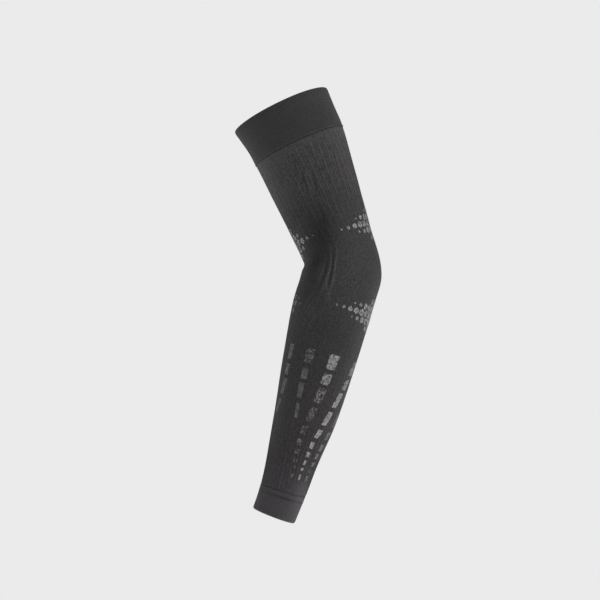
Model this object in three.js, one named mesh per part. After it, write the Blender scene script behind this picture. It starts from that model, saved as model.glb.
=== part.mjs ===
// A knitted compression arm sleeve in the form it has on a slightly bent arm.
//
// It is a hollow tube of three knitted pieces: a turned welt round the upper arm, a ribbed tube
// that runs over the elbow to the wrist, and a narrower turned welt round the wrist.
//
// Millimetres, +Z up. The origin is the middle of the arm at the elbow. The point of the elbow
// faces +X and the crook of the elbow faces -X, so the arm bends in the XZ plane.

import * as THREE from "three";

// Where the pieces begin and end, as distances along the arm from the elbow, positive up the arm.
const UPPER_RIM = 174.3;
const UPPER_SEAM = 133;
const WRIST_SEAM = -226.3;
const WRIST_STITCHES = -232.3;
const WRIST_RIM = -253.4;
const SEAM_GAP = 0.3;

// The knit. A welt is two layers thick, because its cloth is turned back on itself, and it stands
// proud of the tube. It rounds off softly over the last stretch before its rim. A line of stitches
// presses a groove into the wrist's welt.
const KNIT_WALL = 1.7;
const WELT_WALL = 2.4;
const WELT_PROUD = 0.2;
const RIM_ROLL = 2.4;
const STITCH_GROOVE_DEPTH = 0.5;
const STITCH_GROOVE_REACH = 1.2;
const RIB_COUNT = 42;

// How finely the walls are faceted.
const POINTS_PER_RIB = 4;
const WELT_POINTS = 64;
const LINING_POINTS = 36;
const STRAIGHT_STEP = 27;
const ELBOW_STEP = 10;
const ELBOW_REACH = 42;
const WELT_STEPS = 3;
const ROLL_STEPS = 6;
const AXIS_STEP = 1;

// Lean of the arm's axis from upright, in degrees. It changes evenly between two rows, so the
// elbow, the shoulder end and the wrist are arcs and the rest is straight.
const LEANS = [
  { along: -260, lean: -21 },
  { along: -205, lean: -15.5 },
  { along: -22, lean: -15.5 },
  { along: 22, lean: 20 },
  { along: 100, lean: 20 },
  { along: 150, lean: 26.5 },
  { along: 190, lean: 25 },
];

// Size of the sleeve across the arm: from the axis to the crook's side, to the elbow's side and to
// either flank, over the tops of the ribs, with the height of the ribs there.
const GIRTHS = [
  { along: -260, front: 24.1, back: 19.1, flank: 25.7, rib: 0.45 },
  { along: -228, front: 24.6, back: 21.0, flank: 26.6, rib: 0.45 },
  { along: -200, front: 26.6, back: 23.3, flank: 28.5, rib: 0.45 },
  { along: -150, front: 31.7, back: 30.8, flank: 33.5, rib: 0.3 },
  { along: -100, front: 37.6, back: 34.0, flank: 38.5, rib: 0.3 },
  { along: -45, front: 42.6, back: 36.0, flank: 42.5, rib: 0.35 },
  { along: -20, front: 42.3, back: 36.6, flank: 42.2, rib: 0.4 },
  { along: -5, front: 41.4, back: 39.1, flank: 41.5, rib: 0.4 },
  { along: 20, front: 37.3, back: 37.3, flank: 40.0, rib: 0.45 },
  { along: 50, front: 39.6, back: 39.6, flank: 39.5, rib: 0.5 },
  { along: 100, front: 45.1, back: 44.0, flank: 42.0, rib: 0.5 },
  { along: 133, front: 47.6, back: 48.3, flank: 44.1, rib: 0.5 },
  { along: 150, front: 48.3, back: 49.5, flank: 45.1, rib: 0.5 },
  { along: 175, front: 52.3, back: 51.0, flank: 46.7, rib: 0.5 },
];

// Folds that the bend presses into the knit. Each runs straight from one place to another, given by
// distance along the arm and degrees of turn from the crook, and fades towards its ends.
// A negative height is a crease or a hollow.
const FOLDS = [
  { fromAlong: 17, fromTurn: -70, toAlong: 17, toTurn: 70, width: 6, height: -0.4 },
  { fromAlong: 4, fromTurn: -55, toAlong: 4, toTurn: 55, width: 6, height: 0.5 },
  { fromAlong: 56, fromTurn: 62, toAlong: -36, toTurn: 34, width: 9, height: -2.2 },
  { fromAlong: 28, fromTurn: 84, toAlong: -28, toTurn: 75, width: 3.5, height: 0.9 },
  { fromAlong: 24, fromTurn: 73, toAlong: -30, toTurn: 64, width: 3.5, height: 0.8 },
  { fromAlong: 14, fromTurn: 62, toAlong: -20, toTurn: 54, width: 3.5, height: 0.7 },
  { fromAlong: -34, fromTurn: 60, toAlong: -60, toTurn: 40, width: 4, height: 0.6 },
  { fromAlong: -42, fromTurn: 66, toAlong: -68, toTurn: 48, width: 4, height: 0.5 },
];
const FOLD_RADIUS = 40;

// The knit over the point of the elbow is plain. The inner part of this cap has no ribs, and they
// rise to their full height at its edge.
const ELBOW_CAP = { along: 4, turn: 180, reachAlong: 38, reachTurn: 70, plainPart: 0.5 };

const radians = THREE.MathUtils.degToRad;
const clamp = THREE.MathUtils.clamp;

// Index of the row that a stretch of a table starts from.
function rowBefore(rows, along) {
  const next = rows.findIndex((row) => row.along > along);
  return next < 0 ? rows.length - 2 : clamp(next - 1, 0, rows.length - 2);
}

// Rise of a column at a row, taken from the rows on both sides.
function slopeAt(rows, column, index) {
  const before = rows[Math.max(index - 1, 0)];
  const after = rows[Math.min(index + 1, rows.length - 1)];
  return (after[column] - before[column]) / (after.along - before.along);
}

// Value of a column on a smooth curve through its rows.
function smooth(rows, column, along) {
  const index = rowBefore(rows, along);
  const from = rows[index];
  const to = rows[index + 1];
  const span = to.along - from.along;
  const part = (along - from.along) / span;
  const blend = part * part * (3 - 2 * part);
  const startPull = (1 - part) * slopeAt(rows, column, index);
  const endPull = part * slopeAt(rows, column, index + 1);
  const base = from[column] + (to[column] - from[column]) * blend;
  return base + span * part * (1 - part) * (startPull - endPull);
}

// Lean of the arm's axis, in radians.
function leanAt(along) {
  const index = rowBefore(LEANS, along);
  const from = LEANS[index];
  const to = LEANS[index + 1];
  const part = (along - from.along) / (to.along - from.along);
  return radians(from.lean + (to.lean - from.lean) * part);
}

// Point of the arm's axis, found by walking from the elbow in short steps.
function axisPoint(along) {
  const count = Math.max(1, Math.ceil(Math.abs(along) / AXIS_STEP));
  const step = along / count;
  const point = new THREE.Vector3();
  for (let i = 0; i < count; i += 1) {
    const lean = leanAt((i + 0.5) * step);
    point.x -= Math.sin(lean) * step;
    point.z += Math.cos(lean) * step;
  }
  return point;
}

// Difference of two turns, in degrees from -180 to 180.
function turnBetween(from, to) {
  return THREE.MathUtils.euclideanModulo(to - from + 180, 360) - 180;
}

// How far the folds lift or press the knit at a place.
function foldLift(along, turn) {
  const perDegree = radians(1) * FOLD_RADIUS;
  let lift = 0;
  for (const fold of FOLDS) {
    const runAlong = fold.toAlong - fold.fromAlong;
    const runTurn = turnBetween(fold.fromTurn, fold.toTurn) * perDegree;
    const offAlong = along - fold.fromAlong;
    const offTurn = turnBetween(fold.fromTurn, turn) * perDegree;
    const length = Math.hypot(runAlong, runTurn);
    const part = clamp((offAlong * runAlong + offTurn * runTurn) / length ** 2, 0, 1);
    const away = Math.hypot(offAlong - part * runAlong, offTurn - part * runTurn);
    const fade = Math.sin(Math.PI * part);
    lift += fold.height * fade * Math.exp(-((away / fold.width) ** 2));
  }
  return lift;
}

// Height of the ribs at a place: nothing over the point of the elbow, full away from it.
function ribHeight(along, turn) {
  const offAlong = (along - ELBOW_CAP.along) / ELBOW_CAP.reachAlong;
  const offTurn = turnBetween(ELBOW_CAP.turn, turn) / ELBOW_CAP.reachTurn;
  const away = clamp(Math.hypot(offAlong, offTurn), 0, 1);
  return smooth(GIRTHS, "rib", along) * THREE.MathUtils.smoothstep(away, ELBOW_CAP.plainPart, 1);
}

// Depth below the tops of the ribs: nothing on a top, the ribs' whole height in a valley.
function ribDepth(along, turn) {
  return (ribHeight(along, turn) * (1 - Math.cos(radians(turn * RIB_COUNT)))) / 2;
}

// Point of the sleeve at a distance along the arm and a turn round it from the crook, lifted off
// the surface that the tops of the ribs make. The section is two half ellipses that share a flank.
function sleevePoint(along, turn, lift) {
  const cos = Math.cos(radians(turn));
  const sin = Math.sin(radians(turn));
  const reach = smooth(GIRTHS, cos > 0 ? "front" : "back", along);
  const flank = smooth(GIRTHS, "flank", along);
  const outward = new THREE.Vector2(cos / reach, sin / flank).normalize();
  const across = -(reach * cos + lift * outward.x);
  const aside = -(flank * sin + lift * outward.y);
  const lean = leanAt(along);
  const point = axisPoint(along);
  point.x += across * Math.cos(lean);
  point.y += aside;
  point.z += across * Math.sin(lean);
  return point;
}

// One closed ring of points round the arm. The lift is a function of the turn.
function ring(along, count, lift) {
  const points = [];
  for (let i = 0; i < count; i += 1) {
    const turn = (360 * i) / count;
    points.push(sleevePoint(along, turn, lift(turn)));
  }
  return points;
}

// Triangles between two rings, which may have different numbers of points.
function stitch(indices, first, second) {
  let i = 0;
  let j = 0;
  while (i < first.count || j < second.count) {
    const a = first.start + (i % first.count);
    const b = second.start + (j % second.count);
    const middleOfNextA = (i + 0.5) / first.count;
    const middleOfNextB = (j + 0.5) / second.count;
    if (j >= second.count || (i < first.count && middleOfNextA <= middleOfNextB)) {
      i += 1;
      indices.push(a, first.start + (i % first.count), b);
    } else {
      j += 1;
      indices.push(a, second.start + (j % second.count), b);
    }
  }
}

// A wall whose section is a closed loop: each ring is stitched to the next, and the last to the first.
function wallFromRings(rings) {
  const positions = [];
  const spans = [];
  for (const points of rings) {
    spans.push({ start: positions.length / 3, count: points.length });
    points.forEach((point) => positions.push(point.x, point.y, point.z));
  }
  const indices = [];
  spans.forEach((span, i) => stitch(indices, span, spans[(i + 1) % spans.length]));
  const geometry = new THREE.BufferGeometry();
  geometry.setAttribute("position", new THREE.Float32BufferAttribute(positions, 3));
  geometry.setIndex(indices);
  geometry.computeVertexNormals();
  return geometry;
}

// Evenly spaced values from one to another, both included.
function evenSteps(from, to, count) {
  return Array.from({ length: count + 1 }, (_, i) => from + ((to - from) * i) / count);
}

// Stations of the ribbed tube, from the wrist up: close together at the elbow, wide on the straights.
function tubeStations(low, high) {
  const straight = (from, to) => evenSteps(from, to, Math.ceil((to - from) / STRAIGHT_STEP));
  const elbow = evenSteps(-ELBOW_REACH, ELBOW_REACH, Math.ceil((2 * ELBOW_REACH) / ELBOW_STEP));
  return [...straight(low, -ELBOW_REACH).slice(0, -1), ...elbow, ...straight(ELBOW_REACH, high).slice(1)];
}

// The ribbed tube: rib tops and valleys take turns round the outside, and the inside is smooth.
function tubeGeometry() {
  const stations = tubeStations(WRIST_SEAM + SEAM_GAP / 2, UPPER_SEAM - SEAM_GAP / 2);
  const ribbed = (along) => (turn) => foldLift(along, turn) - ribDepth(along, turn);
  const lined = (along) => (turn) => foldLift(along, turn) - KNIT_WALL;
  const outside = stations.map((along) => ring(along, RIB_COUNT * POINTS_PER_RIB, ribbed(along)));
  const inside = stations.map((along) => ring(along, LINING_POINTS, lined(along))).reverse();
  return wallFromRings([...outside, ...inside]);
}

// A welt: a smooth band with a square edge at its seam and a round turned edge at its rim. Lines of
// stitches round it are given by their distances along the arm.
function weltGeometry(seam, rim, stitchLines) {
  const upward = Math.sign(rim - seam);
  const plain = evenSteps(seam + (upward * SEAM_GAP) / 2, rim - upward * RIM_ROLL, WELT_STEPS);
  const face = plain.map((along) => ({ along, lift: WELT_PROUD }));
  for (const along of stitchLines) {
    face.push({ along, lift: WELT_PROUD - STITCH_GROOVE_DEPTH });
    face.push({ along: along - STITCH_GROOVE_REACH, lift: WELT_PROUD });
    face.push({ along: along + STITCH_GROOVE_REACH, lift: WELT_PROUD });
  }
  face.sort((a, b) => upward * (a.along - b.along));
  const turned = evenSteps(0, Math.PI, ROLL_STEPS).slice(1, -1).map((angle) => ({
    along: rim - upward * RIM_ROLL * (1 - Math.sin(angle)),
    lift: WELT_PROUD - (WELT_WALL * (1 - Math.cos(angle))) / 2,
  }));
  const outside = [...face, ...turned].map(({ along, lift }) => ring(along, WELT_POINTS, () => lift));
  const lining = plain.map((along) => ring(along, LINING_POINTS, () => WELT_PROUD - WELT_WALL));
  const rings = [...outside, ...lining.reverse()];
  return wallFromRings(upward > 0 ? rings : rings.reverse());
}

const ribKnit = new THREE.MeshStandardMaterial({ color: 0x3b3a3a, roughness: 0.85, metalness: 0 });
const weltKnit = new THREE.MeshStandardMaterial({ color: 0x373636, roughness: 0.9, metalness: 0 });

function piece(name, geometry, material) {
  const mesh = new THREE.Mesh(geometry, material);
  mesh.name = name;
  return mesh;
}

const armSleeve = new THREE.Group();
armSleeve.add(
  piece("upper_welt", weltGeometry(UPPER_SEAM, UPPER_RIM, []), weltKnit),
  piece("ribbed_tube", tubeGeometry(), ribKnit),
  piece("wrist_welt", weltGeometry(WRIST_SEAM, WRIST_RIM, [WRIST_STITCHES]), weltKnit),
);

export default armSleeve;
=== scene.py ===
# %% [markdown]
# # Dressing a knitted arm sleeve
#
# The real object is a compression sleeve for the arm: a seamless ribbed tube from a circular knitting
# machine, a turned welt at each end, and a silver print on the knit. The solids of the frame already have
# its form on a bent arm. We could subdivide and displace them, but their facets would show through. So this
# lesson repeats the few short tables that shape the solids, and lays a much finer knit on the same surface.

# %% Load the frame
import math
from collections import namedtuple

import bpy
import numpy as np
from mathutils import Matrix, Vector


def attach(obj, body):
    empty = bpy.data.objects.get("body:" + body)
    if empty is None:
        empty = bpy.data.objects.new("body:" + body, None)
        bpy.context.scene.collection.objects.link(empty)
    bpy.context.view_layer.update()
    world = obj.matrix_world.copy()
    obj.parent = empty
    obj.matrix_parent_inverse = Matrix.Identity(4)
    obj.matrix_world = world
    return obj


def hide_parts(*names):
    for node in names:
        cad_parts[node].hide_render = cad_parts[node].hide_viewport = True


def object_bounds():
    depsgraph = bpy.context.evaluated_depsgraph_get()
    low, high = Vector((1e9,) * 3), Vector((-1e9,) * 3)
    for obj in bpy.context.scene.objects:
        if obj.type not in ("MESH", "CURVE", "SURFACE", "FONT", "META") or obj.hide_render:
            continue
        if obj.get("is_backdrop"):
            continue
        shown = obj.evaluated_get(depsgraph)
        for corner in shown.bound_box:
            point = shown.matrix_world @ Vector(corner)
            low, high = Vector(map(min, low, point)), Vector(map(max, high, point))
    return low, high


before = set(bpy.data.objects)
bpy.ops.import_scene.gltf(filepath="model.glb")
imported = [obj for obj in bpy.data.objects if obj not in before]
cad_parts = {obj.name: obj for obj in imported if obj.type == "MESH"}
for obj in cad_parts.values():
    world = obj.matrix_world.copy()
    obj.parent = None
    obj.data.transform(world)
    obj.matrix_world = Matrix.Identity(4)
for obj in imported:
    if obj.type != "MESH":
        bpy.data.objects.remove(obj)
cad_low, cad_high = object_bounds()
print("solids:", sorted(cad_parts), "from", tuple(cad_low), "to", tuple(cad_high))

# %% [markdown]
# ## The camera
#
# Both openings tell where the camera stood: the upper rim bows up and the lower rim bows down, so it looked
# from a little below the elbow, and the bows are shallow, so it stood far off with a long lens. The frame's
# width shows 600 mm at the sleeve, which fixes the lens once the distance is known.

# %% Camera
MM = 0.001
CAMERA_AIM = Vector((-42.5, 0, -29.5)) * MM
CAMERA_DISTANCE = 1466 * MM
CAMERA_ELEVATION = math.radians(-4.4)
VIEW_WIDTH = 600 * MM
SENSOR_WIDTH = 36


def place_object(name, data):
    """A new object in the scene, from a mesh, a camera or a lamp."""
    made = bpy.data.objects.new(name, data)
    bpy.context.scene.collection.objects.link(made)
    return made


def aim(thing, place):
    """Moves a camera or a lamp to a place and turns it towards the middle of the view."""
    thing.location = place
    thing.rotation_euler = (CAMERA_AIM - thing.location).to_track_quat("-Z", "Y").to_euler()


camera_data = bpy.data.cameras.new("camera")
camera_data.sensor_width = SENSOR_WIDTH
camera_data.lens = SENSOR_WIDTH * CAMERA_DISTANCE / VIEW_WIDTH
camera = place_object("camera", camera_data)
towards_camera = Vector((0, -math.cos(CAMERA_ELEVATION), math.sin(CAMERA_ELEVATION)))
aim(camera, CAMERA_AIM + towards_camera * CAMERA_DISTANCE)
bpy.context.scene.camera = camera
print("camera: lens", round(camera_data.lens, 1), "mm, at", tuple(round(x, 3) for x in camera.location))

# %% [markdown]
# ## The arm's axis
#
# A sleeve on an arm is a tube round a bent line. We could draw that line as a curve object, but numbers are
# easier to reuse: every later piece asks for a place by its distance along the arm from the elbow and its
# turn round the arm. The lean of the axis changes evenly between the rows of this table, so the elbow, the
# wrist and the shoulder end are arcs. Lengths are in millimetres until a mesh is made.

# %% Axis
Lean = namedtuple("Lean", "along degrees")
LEANS = [
    Lean(-260, -21),
    Lean(-205, -15.5),
    Lean(-22, -15.5),
    Lean(22, 20),
    Lean(100, 20),
    Lean(150, 26.5),
    Lean(190, 25),
]
AXIS_STEP = 0.5


def lean_at(along):
    """Lean of the axis from upright, in radians."""
    return np.radians(np.interp(along, [row.along for row in LEANS], [row.degrees for row in LEANS]))


def walk_axis():
    """Distances along the axis, and the X and Z of its points, with the elbow at the origin."""
    walked = np.arange(LEANS[0].along, LEANS[-1].along + AXIS_STEP, AXIS_STEP)
    middle = lean_at((walked[:-1] + walked[1:]) / 2)
    x = np.concatenate([[0], np.cumsum(-np.sin(middle) * AXIS_STEP)])
    z = np.concatenate([[0], np.cumsum(np.cos(middle) * AXIS_STEP)])
    return walked, x - np.interp(0, walked, x), z - np.interp(0, walked, z)


AXIS_ALONG, AXIS_X, AXIS_Z = walk_axis()
print("axis:", len(AXIS_ALONG), "points, wrist end at", AXIS_X[0].round(1), AXIS_Z[0].round(1))

# %% [markdown]
# ## The girths
#
# Each row gives the size of the sleeve across the arm at one distance: from the axis to the crook of the
# elbow, to the point of the elbow and to either flank, near the tops of the ribs. A section is two half
# ellipses that share a flank. A smooth curve through the rows keeps the outline free of corners.

# %% Girths
Girth = namedtuple("Girth", "along front back flank")
GIRTHS = [
    Girth(-260, 24.1, 19.1, 25.7),
    Girth(-228, 24.6, 21.0, 26.6),
    Girth(-200, 26.6, 23.3, 28.5),
    Girth(-150, 31.7, 30.8, 33.5),
    Girth(-100, 37.6, 34.0, 38.5),
    Girth(-45, 42.6, 36.0, 42.5),
    Girth(-20, 42.3, 36.6, 42.2),
    Girth(-5, 41.4, 39.1, 41.5),
    Girth(20, 37.3, 37.3, 40.0),
    Girth(50, 39.6, 39.6, 39.5),
    Girth(100, 45.1, 44.0, 42.0),
    Girth(133, 47.6, 48.3, 44.1),
    Girth(150, 48.3, 49.5, 45.1),
    Girth(175, 52.3, 51.0, 46.7),
]
GIRTH_ALONG = np.array([row.along for row in GIRTHS], float)


def smooth(column, along):
    """Value of a column of the girths on a smooth curve through its rows."""
    values = np.array([getattr(row, column) for row in GIRTHS], float)
    last = len(values) - 1
    before = np.maximum(np.arange(last + 1) - 1, 0)
    after = np.minimum(np.arange(last + 1) + 1, last)
    slopes = (values[after] - values[before]) / (GIRTH_ALONG[after] - GIRTH_ALONG[before])
    row = np.clip(np.searchsorted(GIRTH_ALONG, along, side="right") - 1, 0, last - 1)
    span = GIRTH_ALONG[row + 1] - GIRTH_ALONG[row]
    part = (along - GIRTH_ALONG[row]) / span
    base = values[row] + (values[row + 1] - values[row]) * part * part * (3 - 2 * part)
    pull = (1 - part) * slopes[row] - part * slopes[row + 1]
    return base + span * part * (1 - part) * pull


def sleeve_point(along, turn, lift):
    """Points lifted off the sleeve, at distances along the arm and turns from the crook in degrees."""
    along, turn, lift = np.broadcast_arrays(*(np.asarray(x, float) for x in (along, turn, lift)))
    cos, sin = np.cos(np.radians(turn)), np.sin(np.radians(turn))
    reach = np.where(cos > 0, smooth("front", along), smooth("back", along))
    flank = smooth("flank", along)
    slope = np.hypot(cos / reach, sin / flank)
    across = -(reach * cos + lift * cos / reach / slope)
    aside = -(flank * sin + lift * sin / flank / slope)
    lean = lean_at(along)
    x = np.interp(along, AXIS_ALONG, AXIS_X) + across * np.cos(lean)
    z = np.interp(along, AXIS_ALONG, AXIS_Z) + across * np.sin(lean)
    return np.stack([x, aside, z], -1)


def round_length(along):
    """Length round the sleeve at a distance along the arm."""
    ring = sleeve_point(along, np.arange(0, 360), 0)
    return np.linalg.norm(ring - np.roll(ring, 1, axis=0), axis=1).sum()


print("girths:", {row.along: round(round_length(row.along)) for row in GIRTHS})

# %% [markdown]
# ## Folds and wrinkles
#
# The bend presses folds into the knit: a crease in the crook, drag folds down the flank beside it, fine
# wrinkles between them and a few thin creases on the upper arm. A cloth simulation could make them, but then
# they would not lie where this sleeve has them. Each fold is one row: where it starts and ends, how wide it
# is and how high. It swells and fades along its length, and a negative height makes it a crease. The first
# table is also in the solids, and the second is too fine for them.

# %% Folds
Fold = namedtuple("Fold", "from_along from_turn to_along to_turn width height")
FOLDS = [
    Fold(17, -70, 17, 70, 6, -0.4),
    Fold(4, -55, 4, 55, 6, 0.5),
    Fold(56, 62, -36, 34, 9, -2.2),
    Fold(28, 84, -28, 75, 3.5, 0.9),
    Fold(24, 73, -30, 64, 3.5, 0.8),
    Fold(14, 62, -20, 54, 3.5, 0.7),
    Fold(-34, 60, -60, 40, 4, 0.6),
    Fold(-42, 66, -68, 48, 4, 0.5),
]
WRINKLES = [
    Fold(13, -42, 13, 36, 1.8, -0.25),
    Fold(8.5, -48, 9, 40, 1.6, -0.2),
    Fold(28, 88, -4, 76, 0.85, 0.6),
    Fold(16, 79.5, -40, 75, 0.85, 0.75),
    Fold(30, 77.5, -44, 62.5, 0.8, 0.8),
    Fold(18, 66, -28, 54, 0.8, 0.65),
    Fold(22, 78, -32, 70.5, 0.8, -0.4),
    Fold(14, 70, -30, 60, 0.8, -0.4),
    Fold(124, 75, 102, 72, 0.9, -0.4),
    Fold(106, 77, 74, 76, 0.9, -0.5),
    Fold(106, 80, 74, 79, 0.9, 0.4),
    Fold(98, 90.5, 70, 84, 0.9, -0.45),
    Fold(98, 87.5, 72, 81.5, 0.9, 0.35),
    Fold(70, 85.5, 34, 78.5, 0.8, -0.4),
    Fold(-8, 66, -40, 75.5, 0.9, 0.5),
    Fold(-22, 72.5, -46, 84, 0.9, 0.4),
    Fold(-28, 56, -52, 44, 1.0, 0.45),
    Fold(-34, 60, -58, 47, 1.2, 0.35),
    Fold(-40, 64, -66, 50, 1.0, 0.55),
    Fold(-47, 69, -72, 57, 1.3, 0.4),
]
# Distances round the arm are measured on a circle of this radius.
FOLD_RADIUS = 40


def turn_between(start, end):
    """Difference of two turns, from -180 to 180 degrees."""
    return (end - start + 180) % 360 - 180


def fold_lift(along, turn, folds):
    """How far the folds lift or press the knit."""
    per_degree = math.radians(1) * FOLD_RADIUS
    lift = np.zeros(np.broadcast(along, turn).shape)
    for fold in folds:
        run_along = fold.to_along - fold.from_along
        run_turn = turn_between(fold.from_turn, fold.to_turn) * per_degree
        off_along = along - fold.from_along
        off_turn = turn_between(fold.from_turn, turn) * per_degree
        part = (off_along * run_along + off_turn * run_turn) / (run_along**2 + run_turn**2)
        part = np.clip(part, 0, 1)
        away = np.hypot(off_along - part * run_along, off_turn - part * run_turn)
        lift += fold.height * np.sin(math.pi * part) * np.exp(-((away / fold.width) ** 2))
    return lift


print("folds:", len(FOLDS), "in the solids,", len(WRINKLES), "finer ones")

# %% [markdown]
# ## The ribs
#
# Forty-two narrow ribs run down the sleeve, with a finer one between each two. They stand highest on the
# upper arm and at the wrist, and fade beside the welts and on calm patches, where the arm stretches the knit
# flat: the point of the elbow, the front of the upper arm and the back of the wrist. We could use a bump for
# them, but they show on the outline of the sleeve and in raking light, so they are modelled. On the real
# sleeve no two are alike. Seeded random numbers give each rib its own strength, the same in every run.

# %% Ribs
RIB_COUNT = 42
RIB_DEGREES = 360 / RIB_COUNT
RIB_SHARPNESS = 5
FINE_RIB = 0.3
RIB_OVER_GIRTH = 0.4
UPPER_SEAM = 133
WRIST_SEAM = -226.3
PLAIN_BELOW_SEAM = (4, 13)
PLAIN_ABOVE_WRIST = (0.5, 3)

RibZone = namedtuple("RibZone", "along depth")
RIB_ZONES = [
    RibZone(-222, 0.9),
    RibZone(-195, 0.8),
    RibZone(-150, 0.3),
    RibZone(-60, 0.2),
    RibZone(15, 0.16),
    RibZone(45, 0.5),
    RibZone(75, 0.9),
    RibZone(125, 0.9),
]

# The inner part of a calm patch, up to plain_part of its reach, keeps only this share of the ribs.
CalmPatch = namedtuple("CalmPatch", "along turn reach_along reach_turn plain_part ribs_left")
CALM_PATCHES = [
    CalmPatch(4, 180, 38, 70, 0.5, 0),
    CalmPatch(105, 52, 42, 38, 0.25, 0.35),
    CalmPatch(-222, 128, 14, 46, 0.4, 0.15),
]

RIB_SEED = 11
RIB_STRENGTHS = (0.7, 1.1)
RIB_WAVE_LENGTHS = (35, 90)
RIB_WAVE = 0.25
draws = np.random.default_rng(RIB_SEED)
RIB_STRENGTH = draws.uniform(*RIB_STRENGTHS, RIB_COUNT)
RIB_WAVE_LENGTH = draws.uniform(*RIB_WAVE_LENGTHS, RIB_COUNT)
RIB_WAVE_START = draws.uniform(0, 2 * math.pi, RIB_COUNT)


def ease(value, low, high):
    """0 below low, 1 above high, and a smooth rise between."""
    part = np.clip((value - low) / (high - low), 0, 1)
    return part * part * (3 - 2 * part)


def rib_depth(along, turn):
    """Depth from the tops of the ribs to the knit between them."""
    depth = np.interp(along, [zone.along for zone in RIB_ZONES], [zone.depth for zone in RIB_ZONES])
    for patch in CALM_PATCHES:
        off_along = (along - patch.along) / patch.reach_along
        off_turn = turn_between(patch.turn, turn) / patch.reach_turn
        outside = ease(np.hypot(off_along, off_turn), patch.plain_part, 1)
        depth = depth * (patch.ribs_left + (1 - patch.ribs_left) * outside)
    from_seams = ease(UPPER_SEAM - along, *PLAIN_BELOW_SEAM) * ease(along - WRIST_SEAM, *PLAIN_ABOVE_WRIST)
    return depth * from_seams


def rib_rise(along, rib_turn):
    """How much of that depth the ribs fill: about 1 on top of one and less on the fine ones."""
    rib = np.round(rib_turn / RIB_DEGREES).astype(int) % RIB_COUNT
    wave = np.sin(2 * math.pi * along / RIB_WAVE_LENGTH[rib] + RIB_WAVE_START[rib])
    strength = RIB_STRENGTH[rib] * (1 - RIB_WAVE / 2 + RIB_WAVE / 2 * wave)
    hump = 0.5 + 0.5 * np.cos(2 * math.pi * rib_turn / RIB_DEGREES)
    return strength * hump**RIB_SHARPNESS + FINE_RIB * (1 - hump) ** RIB_SHARPNESS


UPPER_ARM = 100.0
rib_places = np.arange(RIB_COUNT) * RIB_DEGREES
print("ribs:", RIB_COUNT, "tallest at the upper arm", rib_rise(UPPER_ARM, rib_places).max().round(2))

# %% [markdown]
# ## How the ribs run
#
# The sleeve sits a little twisted on the arm, so its ribs drift round as they go down, and the elbow drags
# those beside it towards its point. Small wanders on top of that keep any rib from being a ruled line. Each
# rib could have a curve of its own, but one shift of the turn does for all, and later pieces ask for it too.

# %% Run of the ribs
Drift = namedtuple("Drift", "along degrees")
DRIFTS = [
    Drift(-228, 6),
    Drift(-200, 3),
    Drift(-150, 1),
    Drift(-30, 0.5),
    Drift(60, 2),
    Drift(90, -0.8),
    Drift(133, -5),
]
ELBOW_DRAG = {"degrees": 6, "along": 24, "reach": 17}

Wander = namedtuple("Wander", "degrees length times_round start")
WANDERS = [
    Wander(0.7, 92, 3, 0.4),
    Wander(0.5, 51, 5, 1.9),
    Wander(0.35, 27, 9, 0.7),
]


def rib_shift(along, turn):
    """How far the ribs lie round from where straight ones would be, in degrees."""
    drift = np.interp(along, [row.along for row in DRIFTS], [row.degrees for row in DRIFTS])
    near_elbow = np.exp(-(((along - ELBOW_DRAG["along"]) / ELBOW_DRAG["reach"]) ** 2))
    shift = drift + ELBOW_DRAG["degrees"] * np.sin(np.radians(turn)) * near_elbow
    for wander in WANDERS:
        angle = 2 * math.pi * along / wander.length + np.radians(turn) * wander.times_round + wander.start
        shift = shift + wander.degrees * np.sin(angle)
    return shift


NEAR_FLANK = 90
print("ribs: shifted at the wrist by", round(float(rib_shift(WRIST_SEAM, NEAR_FLANK)), 1), "degrees")

# %% [markdown]
# ## The knit's surface
#
# One function gives every point of the finished knit, so that the print and the stitches later lie exactly
# on it. A line of stitches pulls the knit down into a soft groove, deeper on one side of the arm than on the
# other. Each line says how far its groove reaches, at which turn it is deepest, and how closely the deep
# stretch keeps to that turn.

# %% Surface of the knit
WRIST_STITCHES = -232.3
GROOVE_DEPTH = 0.8
GROOVE_LEAST = 0.12

StitchLine = namedtuple("StitchLine", "along reach deepest focus")
UPPER_LINE = StitchLine(UPPER_SEAM, 1.0, 75, 4)
WRIST_LINE = StitchLine(WRIST_SEAM, 0.7, 62, 5)
WRIST_SECOND_LINE = StitchLine(WRIST_STITCHES, 0.9, 98, 8)


def groove(along, turn, line):
    """How far the knit is pulled down beside a line of stitches round the arm."""
    near_deepest = (0.5 + 0.5 * np.cos(np.radians(turn - line.deepest))) ** line.focus
    pull = GROOVE_LEAST + (1 - GROOVE_LEAST) * near_deepest
    return GROOVE_DEPTH * pull * np.exp(-(((along - line.along) / line.reach) ** 2))


def knit_lift(along, turn):
    """Lift of the ribbed knit off the plain sleeve."""
    folds = fold_lift(along, turn, FOLDS) + fold_lift(along, turn, WRINKLES)
    seams = groove(along, turn, UPPER_LINE) + groove(along, turn, WRIST_LINE)
    between = 1 - rib_rise(along, turn - rib_shift(along, turn))
    return folds - seams - rib_depth(along, turn) * (between - RIB_OVER_GIRTH)


def knit_point(along, turn, above):
    """Points above the ribbed knit."""
    along, turn = np.broadcast_arrays(np.asarray(along, float), np.asarray(turn, float))
    return sleeve_point(along, turn, knit_lift(along, turn) + above)


print("knit: depth between ribs at the upper arm", rib_depth(UPPER_ARM, rib_places).max().round(2), "mm")

# %% [markdown]
# ## Painted light and shade on the knit
#
# Painted highlights make the tops of wrinkles paler, and painted shade darkens their creases, the crook and
# the grooves beside the stitches. A table of patches adds more painted light and shade on the flanks and at
# the wrist. The knit is also paler or darker along the arm, palest at the wrist and on the upper arm. We
# could paint this by hand on the mesh, but two values on each point, worked out here, carry it to every
# material.

# %% Values of the knit
FULL_RIB_DEPTH = 0.6
PLAIN_RAISED = 0.32
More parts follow.
